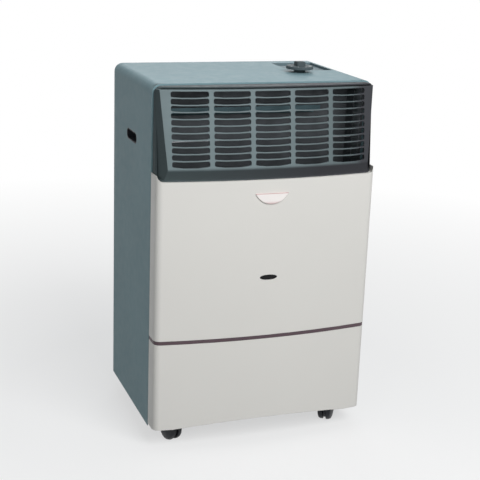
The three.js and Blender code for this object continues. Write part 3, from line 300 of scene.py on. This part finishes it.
materials = {
    "teal_paint": surface("teal_paint", TEAL, 0.5, vary=0.04, vary_scale=5.0, grain=1400.0, bump=0.12,
                          wear_amount=0.25, rough_vary=0.05, specular=0.12),
    "cream_paint": surface("cream_paint", CREAM, 0.4, vary=0.012, vary_scale=4.0, grain=1400.0, bump=0.08,
                           wear=srgb(236, 237, 233), wear_amount=0.3, rough_vary=0.05, specular=0.3),
    "trim_plastic": surface("trim_plastic", srgb(92, 76, 82), 0.4, vary=0.08, wear_amount=0.4, specular=0.3),
    "badge_plate": surface("badge_plate", srgb(250, 244, 241), 0.35, 0.1, vary=0.015, stretch=(1, 1, 12),
                           bump=0.04, wear=srgb(186, 140, 140), wear_amount=0.9, edge_radius=0.0014),
    "window_glass": surface("window_glass", srgb(14, 13, 15), 0.2, vary=0.2, bump=0.03, rough_vary=0.04,
                            specular=0.2),
    "grille_plastic": surface("grille_plastic", GRILLE, 0.45, vary=0.05, vary_scale=14.0, grain=2600.0,
                              bump=0.3, edge_radius=0.0012, wear_amount=0.3, specular=0.25, dust=0.05),
    "knob_plastic": surface("knob_plastic", srgb(80, 90, 93), 0.6, vary=0.06, grain=2400.0, bump=0.25,
                            wear_amount=0.3, specular=0.12),
    "recess_plastic": surface("recess_plastic", srgb(104, 122, 128), 0.5, vary=0.05, grain=2400.0, bump=0.2,
                              wear_amount=0.3, specular=0.15),
    "inner_paint": surface("inner_paint", srgb(82, 103, 109), 0.55, vary=0.06, vary_scale=20.0, grain=1400.0,
                           wear_amount=0.2, specular=0.12),
    "mark_paint": surface("mark_paint", srgb(205, 209, 210), 0.5, vary=0.05, bump=0.05, wear_amount=0.2),
    "zinc": surface("zinc", srgb(168, 172, 176), 0.35, 0.9, vary=0.1, vary_scale=80.0, bump=0.1),
    "black_plastic": surface("black_plastic", BLACK, 0.45, vary=0.12, grain=2200.0, bump=0.3, wear_amount=0.4,
                             dust=0.1, specular=0.3),
    "brass": surface("brass", srgb(196, 160, 88), 0.3, 1.0, vary=0.08, stretch=(1, 1, 8)),
    "cast_aluminium": surface("cast_aluminium", srgb(168, 170, 172), 0.5, 0.9, vary=0.08, grain=700.0,
                              bump=0.5, bump_size=0.0004),
    "galvanised_steel": surface("galvanised_steel", srgb(150, 154, 158), 0.45, 0.85, vary=0.14,
                                vary_scale=60.0, bump=0.1),
    # Aluminised steel kept far darker than its bare tone: painted shade for the heater's inside seen through
    # the grille's slots.
    "aluminised_steel": surface("aluminised_steel", srgb(74, 78, 82), 0.55, 0.6, vary=0.15, vary_scale=25.0,
                                bump=0.15),
    "ceramic": surface("ceramic", srgb(236, 232, 222), 0.25, vary=0.03, coat=0.5),
    "copper": surface("copper", srgb(176, 112, 80), 0.35, 1.0, vary=0.15, vary_scale=30.0),
}

paint_grille_shade(materials["grille_plastic"])
paint_front_edge_shade(materials["teal_paint"])
shade_badge(materials["badge_plate"])

# CAD nodes whose finish differs from the one of their slot.
finishes = {
    "control_knob": "knob_plastic",
    "knob_collar": "knob_plastic",
    "control_recess": "recess_plastic",
    "outlet_baffle": "inner_paint",
}

smoother = smoothing_group()
for name, obj in nodes.items():
    slot_name = obj.material_slots[0].material.name.split(".")[0]
    obj.material_slots[0].material = materials[finishes.get(name, slot_name)]
    smooth = obj.modifiers.new("smooth_curves", "NODES")
    smooth.node_group = smoother
    even_normals(obj)

# ---------------------------------------------------------------- small pieces

MARK_ANGLES = (-160, -120, -80, -40, 0, 40)
MARK_FROM, MARK_TO = 0.0195, 0.0262     # distances from the knob's axis
SKIRT_BELOW_TOP = 0.0085    # top of the knob down to the top of its skirt
TRAIL = 0.017               # swivel axis to wheel axle, seen from above
WHEEL_RADIUS = 0.025
FENDER_RADIUS = 0.0212
FENDER_HALF = 0.0029        # half its thickness, 0.9 mm clear of each wheel
BOLT_REACH = 0.0155         # middle of a caster plate to its bolts, along X and Y
WASHER_RADIUS = 0.0048
BOLT_RADIUS = 0.0040        # to the corners of the hexagon
HEADINGS = {"front_left": 15, "front_right": -35, "rear_left": 165, "rear_right": -150}


def mesh_piece(name, mesh, material, body, bevel=0.0):
    """A piece of the given bmesh, drawn where it is at rest, that rides the named body."""
    data = bpy.data.meshes.new(name)
    bmesh.ops.recalc_face_normals(mesh, faces=mesh.faces)
    mesh.to_mesh(data)
    mesh.free()
    data.materials.append(materials[material])
    obj = bpy.data.objects.new(name, data)
    bpy.context.scene.collection.objects.link(obj)
    if bevel:
        rounding = obj.modifiers.new("edges", "BEVEL")
        rounding.width = bevel
        rounding.segments = 2
        rounding.limit_method = "ANGLE"
        even_normals(obj)
    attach(obj, body)


def prism(mesh, outline, low, high, turn):
    """Adds a closed prism: outline points (x, y) from low to high along Z, placed by the matrix turn."""
    rings = [[mesh.verts.new(turn @ Vector((x, y, z))) for x, y in outline] for z in (low, high)]
    mesh.faces.new(rings[0][::-1])
    mesh.faces.new(rings[1])
    for i in range(len(outline)):
        j = (i + 1) % len(outline)
        mesh.faces.new((rings[0][i], rings[0][j], rings[1][j], rings[1][i]))


def regular(radius, corners, start=0.0):
    angles = [start + 2 * math.pi * k / corners for k in range(corners)]
    return [(radius * math.cos(a), radius * math.sin(a)) for a in angles]


def dial_marks():
    """Plain painted marks round the top of the knob's skirt."""
    low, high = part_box("control_knob")
    centre = (low + high) / 2
    mesh = bmesh.new()
    tick = [(MARK_FROM, -0.0006), (MARK_TO, -0.0009), (MARK_TO, 0.0009), (MARK_FROM, 0.0006)]
    for degrees in MARK_ANGLES:
        turn = Matrix.Translation((centre.x, centre.y, high.z - SKIRT_BELOW_TOP))
        turn = turn @ Matrix.Rotation(math.radians(degrees), 4, "Z")
        prism(mesh, tick, -0.0004, 0.0002, turn)
    mesh_piece("dial_marks", mesh, "mark_paint", "knob")


def caster_details(place, heading):
    """The fender between a caster's wheels, and the bolts and washers that hold its plate."""
    low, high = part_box("caster_plate_" + place)
    x, y = (low.x + high.x) / 2, (low.y + high.y) / 2
    turn = Matrix.Translation((x, y, 0)) @ Matrix.Rotation(math.radians(heading), 4, "Z")
    along = turn @ Matrix.Translation((0, -TRAIL, WHEEL_RADIUS)) @ Matrix.Rotation(math.pi / 2, 4, "Y")
    mesh = bmesh.new()
    prism(mesh, regular(FENDER_RADIUS, 40), -FENDER_HALF, FENDER_HALF, along)
    mesh_piece("caster_fender_" + place, mesh, "black_plastic", "swivel_" + place, 0.0008)
    mesh = bmesh.new()
    for i, j in ((-1, -1), (1, -1), (1, 1), (-1, 1)):
        spot = Matrix.Translation((x + BOLT_REACH * i, y + BOLT_REACH * j, 0))
        prism(mesh, regular(WASHER_RADIUS, 20), high.z - 0.0026, high.z - 0.0017, spot)
        hexagon = regular(BOLT_RADIUS, 6, 0.3 * i + 0.5 * j)
        prism(mesh, hexagon, high.z - 0.0050, high.z - 0.0025, spot)
    mesh_piece("caster_bolts_" + place, mesh, "zinc", "cabinet", 0.0002)


dial_marks()
for place, heading in HEADINGS.items():
    caster_details(place, heading)

# ---------------------------------------------------------------- surroundings

FLOOR_HALF = 14.0
FLOOR_FADE = (0.5, 2.2)             # distances over which the shown floor turns white
LIGHT_TARGET = Vector((0, 0, 0.4))  # near the middle of the heater

def seen_directly(tree):
    """1 for rays that show the studio itself: from the camera, in a reflection or through glass."""
    path = add(tree, "ShaderNodeLightPath")
    rays = [path.outputs[f"Is {kind} Ray"] for kind in ("Camera", "Glossy", "Transmission")]
    return combined(tree, "MAXIMUM", *rays)


def mix_shaders(tree, factor, first, second):
    made = add(tree, "ShaderNodeMixShader")
    tree.links.new(factor, made.inputs[0])
    tree.links.new(first, made.inputs[1])
    tree.links.new(second, made.inputs[2])
    return made.outputs[0]


def make_floor():
    """Pale floor that is seen white, keeps a soft shadow and throws little light up."""
    mesh = bpy.data.meshes.new("floor")
    h = FLOOR_HALF
    corners = [(-h, -h, 0), (h, -h, 0), (h, h, 0), (-h, h, 0)]
    mesh.from_pydata(corners, [], [(0, 1, 2, 3)])
    floor = bpy.data.objects.new("floor", mesh)
    bpy.context.scene.collection.objects.link(floor)
    mat, tree, shader = new_material("pale_floor")
    shader.inputs["Base Color"].default_value = (0.1, 0.1, 0.1, 1)
    shader.inputs["Roughness"].default_value = 0.9
    pale = add(tree, "ShaderNodeBsdfDiffuse")
    pale.inputs["Color"].default_value = (0.8, 0.8, 0.8, 1)
    white = add(tree, "ShaderNodeEmission")
    geometry = add(tree, "ShaderNodeNewGeometry")
    length = add(tree, "ShaderNodeVectorMath", operation="LENGTH")
    tree.links.new(geometry.outputs["Position"], length.inputs[0])
    away = ranged(tree, length.outputs["Value"], 0.6, 1.0, *FLOOR_FADE)
    shown = mix_shaders(tree, away, pale.outputs[0], white.outputs[0])
    out = tree.nodes["Material Output"]
    tree.links.new(mix_shaders(tree, seen_directly(tree), shader.outputs[0], shown), out.inputs["Surface"])
    mesh.materials.append(mat)


def make_world():
    """White where it is seen, and a weak cool light on everything else."""
    world = bpy.data.worlds.new("studio")
    bpy.context.scene.world = world
    world.use_nodes = True
    tree = world.node_tree
    tree.nodes.clear()
    out = add(tree, "ShaderNodeOutputWorld")
    seen = add(tree, "ShaderNodeBackground")
    seen.inputs["Color"].default_value = (1, 1, 1, 1)
    seen.inputs["Strength"].default_value = 1.0
    lit = add(tree, "ShaderNodeBackground")
    lit.inputs["Color"].default_value = (0.9, 0.96, 1.0, 1)
    lit.inputs["Strength"].default_value = 0.25
    choose = mix_shaders(tree, seen_directly(tree), lit.outputs[0], seen.outputs[0])
    tree.links.new(choose, out.inputs["Surface"])


def area_light(name, location, size, power, color=(1, 1, 1)):
    """A soft rectangular light of so many watts, aimed at the heater."""
    data = bpy.data.lights.new(name, "AREA")
    data.shape = "RECTANGLE"
    data.size, data.size_y = size
    data.energy = power
    data.color = color
    light = bpy.data.objects.new(name, data)
    light.location = location
    aim = LIGHT_TARGET - Vector(location)
    light.rotation_mode = "QUATERNION"
    light.rotation_quaternion = aim.to_track_quat("-Z", "Y")
    bpy.context.scene.collection.objects.link(light)


def make_camera():
    """The camera fitted to the photograph."""
    data = bpy.data.cameras.new("photo_view")
    data.sensor_width = 36.0
    data.lens = 84.37
    data.clip_start, data.clip_end = 0.05, 60.0
    camera = bpy.data.objects.new("photo_view", data)
    right = Vector((0.94031737, -0.33844693, 0.03545312))
    up = Vector((0.06314182, 0.27589797, 0.95911075))
    back = right.cross(up)
    turn = Matrix((right, up, back)).transposed()
    camera.matrix_world = Matrix.Translation((-0.8015, -2.1977, 1.0591)) @ turn.to_4x4()
    bpy.context.scene.collection.objects.link(camera)
    bpy.context.scene.camera = camera


make_floor()
make_world()
make_camera()
area_light("key", (0.55, -2.4, 2.3), (1.8, 1.8), 74)
area_light("left_fill", (-2.3, -2.2, 1.1), (1.4, 1.6), 13)
area_light("rear", (0.8, 3.2, 2.4), (2.0, 2.0), 25, (0.95, 0.98, 1.0))

bpy.context.scene.view_settings.view_transform = "Standard"
